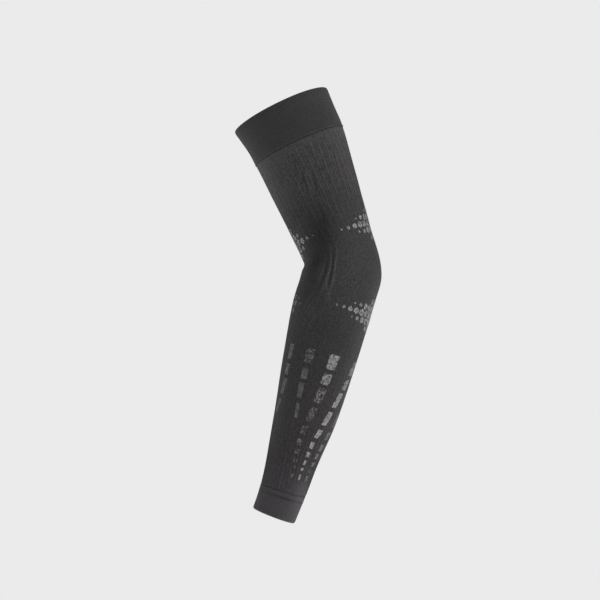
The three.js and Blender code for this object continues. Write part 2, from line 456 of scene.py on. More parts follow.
# Painted highlight on wrinkle tops and painted shade in their creases, for each millimetre of lift.
WRINKLE_PAINTED_LIGHT = 1.05
# Painted shade in the grooves beside the lines of stitches.
GROOVE_SHADE = 0.6

Tone = namedtuple("Tone", "along share")
TONES = [
    Tone(-222, 1.45),
    Tone(-190, 1.09),
    Tone(-150, 0.97),
    Tone(-68, 0.93),
    Tone(-20, 1.0),
    Tone(0, 1.03),
    Tone(37, 0.92),
    Tone(66, 0.95),
    Tone(80, 1.14),
    Tone(125, 1.38),
]
# Patches of painted light, with positive heights, and painted shade, with negative ones, as in the crook.
PAINTED_LIGHT_AND_SHADE = [
    Fold(66, 86, -6, 42, 14, -0.58),
    Fold(30, 46, -56, 43, 11, -0.38),
    Fold(95, 135, -60, 82, 20, 0.3),
    Fold(146, 8, 60, 12, 13, 0.65),
    Fold(136, 143, 55, 147, 13, 0.16),
    Fold(42, 155, -40, 152, 18, -0.17),
    Fold(165, 85, 163, 165, 4.5, 0.12),
    Fold(-115, 25, -200, 32, 13, 0.25),
    Fold(-206, 132, -236, 132, 9, 0.22),
    Fold(-214, 138, -264, 138, 16, 0.14),
]


def knit_values(along, turn):
    """How raised each point is, from 0 between ribs to 1 on top of one, and how pale, with painted light and
    shade.
    """
    ribbed = ease(rib_depth(along, turn), 0, FULL_RIB_DEPTH)
    rise = rib_rise(along, turn - rib_shift(along, turn))
    raised = np.clip(PLAIN_RAISED + (rise - PLAIN_RAISED) * ribbed, 0, 1)
    pale = np.interp(along, [tone.along for tone in TONES], [tone.share for tone in TONES])
    pressed = groove(along, turn, UPPER_LINE) + groove(along, turn, WRIST_LINE)
    # Painted light and shade from the patches and the wrinkles, and painted shade in the grooves.
    painted_shading = 1 + fold_lift(along, turn, PAINTED_LIGHT_AND_SHADE) + WRINKLE_PAINTED_LIGHT * fold_lift(along, turn, WRINKLES)
    pale = pale * painted_shading * (1 - GROOVE_SHADE * pressed / GROOVE_DEPTH)
    return {"raised": raised, "pale": pale}


palest = max(TONES, key=lambda tone: tone.share)
darkest = min(PAINTED_LIGHT_AND_SHADE, key=lambda fold: fold.height)
print("knit: palest at", palest.along, "and slackest from", darkest.from_along, "to", darkest.to_along)

# %% [markdown]
# ## Walls from rings
#
# Every knitted piece is a closed wall: rings up the outside, round the edge, and down the inside. The grid
# closes both ways, like the skin of a ring doughnut, so one function makes all of them. It also stores what
# the materials need: a map of turns and distances for the stitches, and how far each point is raised.

# %% Wall maker


def mesh_from(name, points, faces, face_uvs, values):
    """A smooth mesh object in metres, with a map called knit and the named values on its points."""
    mesh = bpy.data.meshes.new(name)
    mesh.from_pydata((points * MM).tolist(), [], faces.tolist())
    layer = mesh.uv_layers.new(name="knit")
    layer.data.foreach_set("uv", face_uvs.astype(np.float32).ravel())
    for label, numbers in values.items():
        attribute = mesh.attributes.new(label, "FLOAT", "POINT")
        attribute.data.foreach_set("value", numbers.astype(np.float32).ravel())
    mesh.shade_smooth()
    return place_object(name, mesh)


def wall(name, points, along, values):
    """A closed wall from rings of points, given as an array of rings by points by three."""
    rings, count, _ = points.shape
    index = np.arange(rings * count).reshape(rings, count)
    ring, place = np.meshgrid(np.arange(rings), np.arange(count), indexing="ij")
    corners = [(ring, place), (ring, place + 1), (ring + 1, place + 1), (ring + 1, place)]
    faces = np.stack([index[r % rings, p % count] for r, p in corners], -1).reshape(-1, 4)
    uvs = np.stack([np.stack([p / count, along[r % rings] * MM], -1) for r, p in corners], 2)
    return mesh_from(name, points.reshape(-1, 3), faces, uvs.reshape(-1, 2), values)


print("wall maker ready")

# %% [markdown]
# ## The ribbed tube
#
# The tube is one piece of knit without a seam. An even grid fine enough for the wrinkles would be far too
# heavy, so its rings lie close together at the elbow, where the wrinkles are, and further apart on the
# straights, where the ribs change slowly. Its columns follow the ribs, with sixteen points for each one.

# %% Ribbed tube
KNIT_WALL = 1.7
SEAM_GAP = 0.3
POINTS_PER_RIB = 16
ELBOW_SPAN = 48
ELBOW_RING_STEP = 1.5
STRAIGHT_RING_STEP = 5.5
LINING_RING_STEP = 24
SEAM_RINGS = np.array([0, 0.6, 1.2, 2, 3])
LINING_VALUES = {"raised": PLAIN_RAISED, "pale": 0.9}


def steps(start, end, size):
    """Evenly spaced values from start to end, both included, no further apart than size."""
    return np.linspace(start, end, math.ceil(abs(end - start) / size) + 1)


def make_ribbed_tube():
    low = WRIST_SEAM + SEAM_GAP / 2
    high = UPPER_SEAM - SEAM_GAP / 2
    outside = np.unique(np.concatenate([
        low + SEAM_RINGS,
        steps(low + SEAM_RINGS[-1], -ELBOW_SPAN, STRAIGHT_RING_STEP),
        steps(-ELBOW_SPAN, ELBOW_SPAN, ELBOW_RING_STEP),
        steps(ELBOW_SPAN, high - SEAM_RINGS[-1], STRAIGHT_RING_STEP),
        high - SEAM_RINGS,
    ]))
    inside = steps(high, low, LINING_RING_STEP)
    rib_turn = np.arange(RIB_COUNT * POINTS_PER_RIB)[None, :] * RIB_DEGREES / POINTS_PER_RIB
    turn = rib_turn + rib_shift(outside[:, None], rib_turn)
    outer = knit_point(outside[:, None], turn, 0)
    lining_turn = rib_turn + rib_shift(inside[:, None], rib_turn)
    lining_lift = fold_lift(inside[:, None], lining_turn, FOLDS) - KNIT_WALL
    inner = sleeve_point(inside[:, None], lining_turn, lining_lift)
    values = {
        label: np.concatenate([numbers, np.full(lining_turn.shape, LINING_VALUES[label])])
        for label, numbers in knit_values(outside[:, None], turn).items()
    }
    return wall(
        "ribbed_tube_knit",
        np.concatenate([outer, inner]),
        np.concatenate([outside, inside]),
        values,
    )


ribbed_tube = make_ribbed_tube()
print("ribbed tube:", len(ribbed_tube.data.polygons), "faces")

# %% [markdown]
# ## The welts
#
# A welt is knitted twice as long as it shows, turned in and linked to itself, so it is thicker than the tube
# and its rim is a soft roll. Its profile is worked out once, from the seam over the rim to the lining, and
# swept round the arm. Slow waves keep the band from looking turned on a lathe.

# %% Welts
UPPER_RIM = 174.3
WRIST_RIM = -253.4
WELT_WALL = 2.4
WELT_PROUD = 0.2
RIM_ROLL = 2.4
ROLL_RINGS = 14
WELT_POINTS = 320
WELT_RING_STEP = 0.8
PROUD_FROM = 0.3
PROUD_FULL = 2.2
WAVES_FROM_SEAM = 13

SoftWave = namedtuple("SoftWave", "height times_round reach start")
SOFT_WAVES = [
    SoftWave(0.14, 4, 9, 0),
    SoftWave(0.098, 7, -13, 1.1),
]


def soft_waves(along, turn):
    """Slow unevenness of a band that is stretched round an arm."""
    lift = 0
    for wave in SOFT_WAVES:
        angle = wave.times_round * np.radians(turn) + along / wave.reach + wave.start
        lift = lift + wave.height * np.sin(angle)
    return lift


def make_welt(name, seam, rim, lines):
    upward = math.copysign(1, rim - seam)
    first = seam + upward * SEAM_GAP / 2
    last = rim - upward * RIM_ROLL
    face = steps(first, last, WELT_RING_STEP)
    roll = np.linspace(0, math.pi, ROLL_RINGS + 1)[1:-1]
    lining = steps(last, first, LINING_RING_STEP)
    along = np.concatenate([face, rim - upward * RIM_ROLL * (1 - np.sin(roll)), lining])
    proud = WELT_PROUD * ease(np.abs(face - seam), PROUD_FROM, PROUD_FULL)
    turn = np.arange(WELT_POINTS)[None, :] * 360 / WELT_POINTS
    pressed = np.zeros((len(along), WELT_POINTS))
    pressed[: len(face)] = sum(groove(face[:, None], turn, line) for line in lines)
    profile = np.concatenate([
        proud,
        WELT_PROUD - WELT_WALL * (1 - np.cos(roll)) / 2,
        np.full(len(lining), WELT_PROUD - WELT_WALL),
    ])
    from_seam = ease(np.abs(along - seam), PROUD_FROM, WAVES_FROM_SEAM)
    lift = profile[:, None] - pressed + soft_waves(along[:, None], turn) * from_seam[:, None]
    points = sleeve_point(along[:, None], turn, lift)
    # Painted light and shade from the patch table, and painted shade in the grooves.
    pale = (1 + fold_lift(along[:, None], turn, PAINTED_LIGHT_AND_SHADE)) * (1 - GROOVE_SHADE * pressed / GROOVE_DEPTH)
    if upward < 0:
        points, along, pale = points[::-1], along[::-1], pale[::-1]
    return wall(name, points, along, {"raised": np.full(pale.shape, PLAIN_RAISED), "pale": pale})


upper_welt = make_welt("upper_welt_knit", UPPER_SEAM, UPPER_RIM, [UPPER_LINE])
wrist_welt = make_welt("wrist_welt_knit", WRIST_SEAM, WRIST_RIM, [WRIST_LINE, WRIST_SECOND_LINE])
print("welts:", len(upper_welt.data.polygons), "and", len(wrist_welt.data.polygons), "faces")

# %% [markdown]
# ## Linking stitches
#
# Where a welt joins the tube, a linking yarn runs round in the groove or on its edge: short slanted stitches
# side by side, which read as a thin rope. A curve with a bevel would give a smooth cord, so each stitch is a
# small capsule of its own. They are made together as one mesh from arrays.

# %% Stitches
Seam = namedtuple("Seam", "name line beside above count length thickness slant")
SEAMS = [
    Seam("upper_seam_stitches", UPPER_LINE, 0.7, 0.3, 200, 2.0, 0.9, 30),
    Seam("wrist_seam_stitches", WRIST_LINE, 0, 0.1, 130, 1.6, 0.6, 38),
    Seam("wrist_line_stitches", WRIST_SECOND_LINE, 0, WELT_PROUD + 0.1, 76, 1.5, 0.5, 8),
]
CAPSULE_SIDES = 8
CAPSULE_RINGS = 7
CAPSULE_TIP = 0.15


def seam_point(seam, turn, off):
    """Points of a seam's yarn in or beside its groove, off its line by a distance along the arm."""
    sunk = groove(seam.line.along, turn, seam.line)
    return sleeve_point(seam.line.along + seam.beside + off, turn, seam.above - sunk)


def capsule_faces(first):
    """Faces of one capsule whose rings of points start at an index."""
    index = first + np.arange(CAPSULE_RINGS * CAPSULE_SIDES).reshape(CAPSULE_RINGS, CAPSULE_SIDES)
    following = np.roll(index, -1, axis=1)
    sides = np.stack([index[:-1], following[:-1], following[1:], index[1:]], -1).reshape(-1, 4)
    return [*sides.tolist(), index[0][::-1].tolist(), index[-1].tolist()]


def make_stitches(seam):
    turn = np.arange(seam.count) * 360 / seam.count
    centre = seam_point(seam, turn, 0)
    round_way = seam_point(seam, turn + 0.5, 0) - seam_point(seam, turn - 0.5, 0)
    up_way = seam_point(seam, turn, 0.5) - seam_point(seam, turn, -0.5)
    round_way /= np.linalg.norm(round_way, axis=1, keepdims=True)
    up_way /= np.linalg.norm(up_way, axis=1, keepdims=True)
    outward = np.cross(round_way, up_way)
    slant = math.radians(seam.slant)
    lengthwise = round_way * math.cos(slant) + up_way * math.sin(slant)
    sideways = np.cross(outward, lengthwise)
    place = np.linspace(-math.pi / 2, math.pi / 2, CAPSULE_RINGS)
    reach = np.sin(place) * seam.length / 2
    radius = np.maximum(np.cos(place), CAPSULE_TIP) * seam.thickness / 2
    angle = np.arange(CAPSULE_SIDES) * 2 * math.pi / CAPSULE_SIDES
    points = (
        centre[:, None, None]
        + lengthwise[:, None, None] * reach[None, :, None, None]
        + sideways[:, None, None] * (radius[:, None] * np.cos(angle))[None, :, :, None]
        + outward[:, None, None] * (radius[:, None] * np.sin(angle))[None, :, :, None]
    )
    faces = []
    for number in range(seam.count):
        faces += capsule_faces(number * CAPSULE_RINGS * CAPSULE_SIDES)
    mesh = bpy.data.meshes.new(seam.name)
    mesh.from_pydata((points.reshape(-1, 3) * MM).tolist(), [], faces)
    mesh.shade_smooth()
    return place_object(seam.name, mesh)


stitches = [make_stitches(seam) for seam in SEAMS]
print("stitches:", {piece.name: len(piece.data.polygons) for piece in stitches})

# %% [markdown]
# ## The print
#
# The silver marks are a thin film on the knit. They could be masks in the knit's material, but a film has a
# thickness and an edge, so each mark is a thin patch that follows the ribs. A patch is a set of rows across
# its own length, and its outline is only the half width of each row, so the same maker cuts dashes and
# hexagons. A patch can lean to one side as it goes up. Its ink has two shares: how much of the knit it
# covers, and its brightness, which is partly the ink's own tone and partly painted light and shade.

# %% Patch maker
FILM_THICKNESS = 0.14
FILM_SINK = 0.3
FILM_GRAIN = 0.5
FILM_ROW = 1.3
# Rows lie at the sines of even angles. A count in sixes puts one on every corner of a hexagon.
ROWS_TOGETHER = 6
FEWEST_COLUMNS = 4
SHARP_ANGLE = math.radians(50)

# The second share is the ink's brightness: partly its own tone and partly painted light and shade.
Ink = namedtuple("Ink", "cover bright")


def degree_length(along, turn):
    """Length of one degree round the sleeve at a place."""
    return np.linalg.norm(sleeve_point(along, turn + 0.5, 0) - sleeve_point(along, turn - 0.5, 0))


class Film:
    """Collects patches of film and makes one mesh of them."""

    def __init__(self):
        self.points, self.faces, self.uvs = [], [], []
        self.values = {"cover": [], "bright": [], "edge": [], "raised": [], "pale": []}
        self.count = 0

    def add(self, along, turn, length, half_width, lean, ink):
        """One patch. half_width gives half the width at a share of the length, from -1 to 1."""
        rows = ROWS_TOGETHER * math.ceil(length / FILM_ROW / ROWS_TOGETHER) + 1
        share = np.sin(np.linspace(-math.pi / 2, math.pi / 2, rows))
        half = np.array([half_width(x) for x in share])
        columns = max(FEWEST_COLUMNS, math.ceil(2 * half.max() / FILM_GRAIN)) + 1
        across = half[:, None] * np.linspace(-1, 1, columns)[None, :]
        up = np.repeat(share[:, None] * length / 2, columns, axis=1)
        patch_along = along + up
        patch_turn = turn + (across + lean * up) / degree_length(along, turn)
        edge = np.minimum(half[:, None] - np.abs(across), length / 2 - np.abs(up))
        self.close(patch_along, patch_turn, edge, ink)

    def close(self, along, turn, edge, ink):
        """Joins the patch's upper and lower face by a rim, so that it is a thin closed solid."""
        rows, columns = edge.shape
        size = rows * columns
        upper = self.count + np.arange(size).reshape(rows, columns)
        lower = upper + size
        rim = np.concatenate([upper[0, :-1], upper[:-1, -1], upper[-1, :0:-1], upper[:0:-1, 0]])
        after = np.roll(rim, -1)
        faces = np.concatenate([
            np.stack([upper[:-1, :-1], upper[:-1, 1:], upper[1:, 1:], upper[1:, :-1]], -1).reshape(-1, 4),
            np.stack([lower[:-1, :-1], lower[1:, :-1], lower[1:, 1:], lower[:-1, 1:]], -1).reshape(-1, 4),
            np.stack([rim, rim + size, after + size, after], -1),
        ])
        rib_turn = turn - rib_shift(along, turn)
        spots = np.tile(np.stack([rib_turn.ravel() / 360, along.ravel() * MM], -1), (2, 1))
        self.points.append(knit_point(along, turn, FILM_THICKNESS).reshape(-1, 3))
        self.points.append(knit_point(along, turn, -FILM_SINK).reshape(-1, 3))
        self.faces.append(faces)
        self.uvs.append(spots[faces.ravel() - self.count])
        inked = {label: np.full(edge.shape, share) for label, share in ink._asdict().items()}
        patch_values = {**inked, "edge": edge, **knit_values(along, turn)}
        for label, numbers in patch_values.items():
            self.values[label].append(np.tile(numbers.ravel(), 2))
        self.count += 2 * size

    def make(self, name):
        values = {label: np.concatenate(numbers) for label, numbers in self.values.items()}
        points, faces = np.concatenate(self.points), np.concatenate(self.faces)
        made = mesh_from(name, points, faces, np.concatenate(self.uvs), values)
        made.data.set_sharp_from_angle(angle=SHARP_ANGLE)
        return made


print("patch maker ready")

# %% [markdown]
# ## Dashed stripes on the forearm
#
# Five stripes of dashes run down the forearm and draw together at the wrist. Each dash could be placed by
# hand, but all stripes break at the same distances. So one table gives the dashes' places and lengths, and a
# second one each stripe's path, its widths and inks at both ends, and how round its corners are. The stripes
# repeat on the far flank, mirrored in the plane of the bend.

# %% Forearm dashes
Dash = namedtuple("Dash", "along length")
DASHES = [
    Dash(-93, 15.5),
    Dash(-110.5, 11.3),
    Dash(-127.2, 15.8),
    Dash(-147, 14.6),
    Dash(-163.5, 9),
    Dash(-176, 7),
    Dash(-185.5, 5.5),
    Dash(-194, 4.7),
    Dash(-201, 3.2),
    Dash(-209, 5.6),
]
Place = namedtuple("Place", "along turn")
Stripe = namedtuple("Stripe", "first last wide narrow corner upper_ink lower_ink path")
# The brightness shares of these inks hold painted light and shade as well as the print's own tone.
STRIPES = [
    Stripe(0, 3, 7.0, 6.2, 0.1, Ink(0.87, 0.46), Ink(0.87, 0.44), [
        Place(-148, 24), Place(-128, 32.5), Place(-93, 35.5),
    ]),
    Stripe(0, 3, 9.0, 4.1, 0.1, Ink(0.54, 0.46), Ink(0.9, 0.31), [
        Place(-148, 72), Place(-126, 69.5), Place(-93, 71),
    ]),
    Stripe(0, 9, 11.0, 3.4, 0.18, Ink(0.75, 0.86), Ink(0.46, 0.46), [
        Place(-209, 97), Place(-175, 90), Place(-128, 104), Place(-93, 109.5),
    ]),
    Stripe(0, 9, 10.8, 2.8, 0.14, Ink(0.76, 0.76), Ink(0.86, 0.95), [
        Place(-209, 116), Place(-176, 119), Place(-148, 132), Place(-112, 151), Place(-93, 161),
    ]),
    Stripe(3, 9, 8.5, 4.4, 0.14, Ink(0.82, 0.32), Ink(0.8, 0.52), [
        Place(-209, 140), Place(-188, 144), Place(-165, 153), Place(-147, 163.5),
    ]),
]
DASH_TAPER = 0.1
FADE_SPAN = (0.05, 0.42)
SLOPE_SPAN = 4


def dash_outline(width, length, corner):
    """Half width of a dash along its length. It narrows a little downwards and has round corners."""

    def half_width(share):
        from_end = length / 2 * (1 - abs(share))
        inset = max(corner - from_end, 0)
        rounding = corner - math.sqrt(corner**2 - inset**2)
        return width / 2 * (1 - DASH_TAPER * (1 - share) / 2) - rounding

    return half_width


def make_forearm_dashes():
    film = Film()
    for stripe in STRIPES:
        path_along = [place.along for place in stripe.path]
        path_turn = [place.turn for place in stripe.path]
        dashes = DASHES[stripe.first : stripe.last + 1]
        for dash in dashes:
            down = (dashes[0].along - dash.along) / (dashes[0].along - dashes[-1].along)
            width = stripe.wide + (stripe.narrow - stripe.wide) * down
            faded = ease(down, *FADE_SPAN)
            ink = Ink(*(a + (b - a) * faded for a, b in zip(stripe.upper_ink, stripe.lower_ink)))
            low = max(dash.along - SLOPE_SPAN, path_along[0])
            high = min(dash.along + SLOPE_SPAN, path_along[-1])
            below, turn, over = np.interp([low, dash.along, high], path_along, path_turn)
            lean = (over - below) / (high - low) * degree_length(dash.along, turn)
            outline = dash_outline(width, dash.length, stripe.corner * width)
            for side in (1, -1):
                film.add(dash.along, side * turn, dash.length, outline, side * lean, ink)
    return film.make("forearm_dashes")


forearm_dashes = make_forearm_dashes()
print("dashes:", len(forearm_dashes.data.polygons), "faces")

# %% [markdown]
# ## Honeycomb print round the elbow
#
# Above and below the elbow, patches of printed hexagons stiffen the knit. They could be cut from one sheet
# of film, but then the gaps would not follow the ribs. So each cell is a patch of its own, on one grid
# round the arm. The cells shrink towards the tips of a diamond, which fades each patch out on the flank.

# %% Elbow honeycomb
Patch = namedtuple("Patch", "along turn rows reach_turn ink")
# The patches round the crook, at turn 0, have dimmer ink: painted shade there, as well as less cover.
PATCHES = [
    Patch(35, 180, 2, 84, Ink(0.8, 0.88)),
    Patch(-38, 180, 2, 100, Ink(0.8, 0.88)),
    Patch(40, 0, 2, 58, Ink(0.7, 0.77)),
    Patch(-46, 0, 2, 44, Ink(0.6, 0.64)),
]
CELLS_ROUND = 32
CELL_ROW = 6.8
CELL_GAP = 1.0
SHRINK_FROM = 0.45
SMALLEST_CELL = 0.3
HEXAGON_TIP = 0.05


def hexagon_outline(width):
    """Half width of a hexagon that stands on a corner."""

    def half_width(share):
        return max(width / 2 * min(1, 2 * (1 - abs(share))), HEXAGON_TIP)

    return half_width


def make_elbow_honeycomb():
    film = Film()
    pitch = 360 / CELLS_ROUND
    for patch in PATCHES:
        for row in range(-patch.rows, patch.rows + 1):
            along = patch.along + row * CELL_ROW
            reach = patch.reach_turn * (1 - abs(row) / (patch.rows + 1))
            for place in range(-CELLS_ROUND // 2, CELLS_ROUND // 2):
                off_turn = (place + 0.5 * (row % 2)) * pitch
                off = abs(off_turn) / reach
                if off > 1:
                    continue
                size = 1 - (1 - SMALLEST_CELL) * ease(off, SHRINK_FROM, 1)
                turn = patch.turn + off_turn
                width = size * (pitch * degree_length(along, turn) - CELL_GAP)
                film.add(along, turn, width * 2 / math.sqrt(3), hexagon_outline(width), 0, patch.ink)
    return film.make("elbow_honeycomb")


elbow_honeycomb = make_elbow_honeycomb()
print("honeycomb:", len(elbow_honeycomb.data.polygons), "faces")

# %% [markdown]
# ## A bench for shader nodes
#
# Node trees written line by line are long and hard to read. A small bench with a method for each kind of
# join keeps the materials short. It only places nodes and links them.

# %% Node bench
# The mix node has a set of sockets for each kind of data. These are the places of its colour ones.
MIX_FACTOR = 0
MIX_FIRST_COLOUR = 6
MIX_SECOND_COLOUR = 7
MIX_COLOUR_OUT = 2


class Bench:
    """A node tree, with short ways to place and join its nodes."""

    def __init__(self, tree):
        self.tree = tree

    def place(self, kind, **settings):
        node = self.tree.nodes.new(kind)
        for label, value in settings.items():
            setattr(node, label, value)
        return node

    def join(self, value, socket):
        if isinstance(value, bpy.types.NodeSocket):
            self.tree.links.new(value, socket)
        else:
            socket.default_value = value

    def math(self, operation, *values):
        node = self.place("ShaderNodeMath", operation=operation)
        for value, socket in zip(values, node.inputs):
            self.join(value, socket)
        return node.outputs[0]

    def product(self, value, *others):
        """Values multiplied one after another."""
        for other in others:
            value = self.math("MULTIPLY", value, other)
        return value

    def about_one(self, share, amount):
        """A share from 0 to 1 as a multiplier that varies round one by an amount."""
        return self.math("MULTIPLY_ADD", self.math("SUBTRACT", share, 0.5), amount, 1.0)

    def rise(self, value, low, high, start=0.0, end=1.0):
        """A smooth step of a value between two limits."""
        node = self.place("ShaderNodeMapRange", interpolation_type="SMOOTHSTEP")
        labels = ("Value", "From Min", "From Max", "To Min", "To Max")
        for label, given in zip(labels, (value, low, high, start, end)):
            self.join(given, node.inputs[label])
        return node.outputs["Result"]

    def noise(self, scale, detail, vector):
        node = self.place("ShaderNodeTexNoise")
        self.join(scale, node.inputs["Scale"])
        self.join(detail, node.inputs["Detail"])
        self.join(vector, node.inputs["Vector"])
        return node.outputs["Fac"]

    def colour(self, kind, factor, first, second):
        """A mix of two colours: MIX, MULTIPLY or another of Blender's ways."""
        node = self.place("ShaderNodeMix", data_type="RGBA", blend_type=kind)
        self.join(factor, node.inputs[MIX_FACTOR])
        self.join(first, node.inputs[MIX_FIRST_COLOUR])
        self.join(second, node.inputs[MIX_SECOND_COLOUR])
        return node.outputs[MIX_COLOUR_OUT]

    def tint(self, colour, tone):
        """A colour made paler or darker by a multiplier."""
        return self.colour("MULTIPLY", 1.0, colour, tone)

    def relief(self, height, strength, distance):
        """A normal that raises the surface by a height."""
        node = self.place("ShaderNodeBump")
        self.join(height, node.inputs["Height"])
        self.join(strength, node.inputs["Strength"])
        self.join(distance, node.inputs["Distance"])
        return node.outputs["Normal"]

    def spot(self):
        """Where a point lies on its object, for noise that stays in place."""
        return self.place("ShaderNodeTexCoord").outputs["Object"]

    def pair(self, first, second):
        """Two values as the X and Y of a vector."""
        node = self.place("ShaderNodeCombineXYZ")
        self.join(first, node.inputs["X"])
        self.join(second, node.inputs["Y"])
        return node.outputs["Vector"]

    def map_part(self, axis):
        """One of the two numbers of the knit's map: turns round the arm, or metres along it."""
        parts = self.place("ShaderNodeSeparateXYZ")
        self.join(self.place("ShaderNodeUVMap", uv_map="knit").outputs["UV"], parts.inputs[0])
        return parts.outputs[axis]

    def value_on_points(self, label):
        return self.place("ShaderNodeAttribute", attribute_name=label).outputs["Fac"]

    def group(self, made, **values):
        node = self.place("ShaderNodeGroup", node_tree=made)
        for label, value in values.items():
            self.join(value, node.inputs[label.replace("_", " ")])
        return node.outputs


print("bench: methods", [label for label in vars(Bench) if not label.startswith("_")])

# %% [markdown]
# ## Groups for effects that repeat
#
# Three effects come back in several materials: the stitches, the speckled yarn, and the painted shade and
# rubbing of the ribs. They could be copied into each, but then a change would have to be made in every copy.
# A node group is built once, and each material gives it values of its own through named sockets.

# %% Group starter


def start_group(name, inputs, outputs):
    """A new shader node group with number sockets: its bench, what it is given and what it gives."""
    group = bpy.data.node_groups.new(name, "ShaderNodeTree")
    for label, value in inputs.items():
        socket = group.interface.new_socket(name=label, in_out="INPUT", socket_type="NodeSocketFloat")
        socket.default_value = value
    for label in outputs:
        group.interface.new_socket(name=label, in_out="OUTPUT", socket_type="NodeSocketFloat")
    bench = Bench(group)
    return group, bench, bench.place("NodeGroupInput").outputs, bench.place("NodeGroupOutput").inputs


print("group starter ready")

# %% [markdown]
# ## Stitches of the knit
#
# A plain knit shows columns of small V shapes, the wales, stacked in courses. At this size they are a bump,
# not geometry. The map on the mesh counts turns and metres, so multiplying it gives wales and courses. A V
# is two legs, one on each side of the wale's middle, and each leg slants by a share of a course. Every
# stitch has a tone of its own, and a run of stitches in one wale is often a little paler or darker
# together, as the yarn never takes dye evenly. All the knit materials and the print use this group.

# %% Knit stitch group
WALES_PER_RIB = 6
KNIT_WALES = WALES_PER_RIB * RIB_COUNT
KNIT_COURSES = 1400
STITCH_SLANT = 0.7
STREAK_COURSES = 4
STREAK_SHARE = 0.15


def rounded(bench, part):
    """A round hump of a share that runs from 0 to 1."""
    from_middle = bench.math("MULTIPLY_ADD", part, 2.0, -1.0)
    return bench.math("SUBTRACT", 1.0, bench.math("MULTIPLY", from_middle, from_middle))


def make_knit_stitches():
    group, bench, given, made = start_group(
        "knit_stitches",
        {"Wales": KNIT_WALES, "Courses": KNIT_COURSES, "Slant": STITCH_SLANT},
        ["Height", "Tone"],
    )
    wale = bench.math("MULTIPLY", bench.map_part("X"), given["Wales"])
    from_middle = bench.math("ABSOLUTE", bench.math("SUBTRACT", bench.math("FRACT", wale), 0.5))
    off = bench.math("MULTIPLY", from_middle, 2.0)
    slant = bench.math("MULTIPLY", off, given["Slant"])
    course = bench.math("MULTIPLY_ADD", bench.map_part("Y"), given["Courses"], slant)
    leg = bench.math("MULTIPLY", rounded(bench, bench.math("FRACT", course)), rounded(bench, off))
    bench.join(leg, made["Height"])
    own = bench.place("ShaderNodeTexWhiteNoise", noise_dimensions="2D")
    bench.join(bench.pair(bench.math("FLOOR", wale), bench.math("FLOOR", course)), own.inputs["Vector"])
    streak = bench.place("ShaderNodeTexWhiteNoise", noise_dimensions="2D")
    run = bench.math("FLOOR", bench.math("DIVIDE", course, STREAK_COURSES))
    bench.join(bench.pair(run, bench.math("FLOOR", wale)), streak.inputs["Vector"])
    longer = bench.math("MULTIPLY", streak.outputs["Value"], STREAK_SHARE)
    bench.join(bench.math("MULTIPLY_ADD", own.outputs["Value"], 1 - STREAK_SHARE, longer), made["Tone"])
    return group


knit_stitches = make_knit_stitches()
print("group:", knit_stitches.name, [item.name for item in knit_stitches.interface.items_tree])

# %% [markdown]
# ## Heathered yarn, and painted shade and rubbing on the ribs
#
# Charcoal yarn is a blend of dark and pale fibres, so the knit is speckled close by and a little cloudy from
# further away. Painted shade darkens the valleys between the ribs, and their tops are paler, partly from
# rubbing and partly painted light. The rib group also passes on the painted light and shade of the knit's
# pale value, and says where the tops are worn smooth. Both effects are multipliers round one, so that any
# material can put its own colour under them.

# %% Yarn groups
FLECK_DETAIL = 2
CLOUD_SCALE = 28
CLOUD_DETAIL = 3
RUB_SCALE = 60
RUB_DETAIL = 2
RUB_PATCHY = (0.35, 0.65)
RUB_ABOVE = 0.55


def make_heather():
    group, bench, given, made = start_group(
        "heathered_yarn",
        {"Fleck": 0.3, "Cloud": 0.06, "Fleck Scale": 900},
        ["Tone"],
    )
    spot = bench.spot()
    flecked = bench.about_one(bench.noise(given["Fleck Scale"], FLECK_DETAIL, spot), given["Fleck"])
    cloud = bench.math("SUBTRACT", bench.noise(CLOUD_SCALE, CLOUD_DETAIL, spot), 0.5)
    bench.join(bench.math("MULTIPLY_ADD", cloud, given["Cloud"], flecked), made["Tone"])
    return group


def make_rib_shade_and_rubbing():
    group, bench, given, made = start_group(
        "rubbed_ribs",
        {"Valley": 0.87, "Top": 1.25},
        ["Tone", "Rubbed"],
    )
    # Tone: painted shade in the valleys and a paler top, partly rubbing and partly painted light, times the
    # painted light and shade of the pale value.
    raised = bench.value_on_points("raised")
    span = bench.math("SUBTRACT", given["Top"], given["Valley"])
    tone = bench.math("MULTIPLY_ADD", raised, span, given["Valley"])
    bench.join(bench.product(tone, bench.value_on_points("pale")), made["Tone"])
    patchy = bench.rise(bench.noise(RUB_SCALE, RUB_DETAIL, bench.spot()), *RUB_PATCHY)
    bench.join(bench.product(bench.rise(raised, RUB_ABOVE, 1.0), patchy), made["Rubbed"])
    return group


heathered_yarn = make_heather()
rubbed_ribs = make_rib_shade_and_rubbing()
print("groups:", heathered_yarn.name, rubbed_ribs.name)

# %% [markdown]
# ## Knit materials
#
# Ribbed knit and welt knit are the same yarn, knitted differently: the welt is finer and smoother. Towards
# the wrist both turn slightly violet, and the welt also much paler, so each has a second colour, which it
# takes on down the forearm. A third material for the wrist would do as well, but the tube would then show a
# line where two of them meet.
# Sheen stands for the short fibres that catch light along the outline. It is the same all over, so it is set
# on the shader itself.

# %% Knit materials
CHARCOAL = (0.0465, 0.0452, 0.0458, 1)
FOREARM_CHARCOAL = (0.0472, 0.0436, 0.0472, 1)
WELT_CHARCOAL = (0.04, 0.0393, 0.0396, 1)
WRIST_CHARCOAL = (0.0693, 0.0635, 0.07, 1)
VIOLET_FROM = -90 * MM
VIOLET_FULL = -130 * MM
LOOP_HEIGHT = 0.35 * MM
LOOP_TOP = 0.7
LOOP_TONES = (0.7, 1.15)
KNIT_ROUGHNESS = 0.86
RUB_POLISH = 0.12
KNIT_SPECULAR = 0.3
SHEEN = 0.12
SHEEN_ROUGHNESS = 0.45

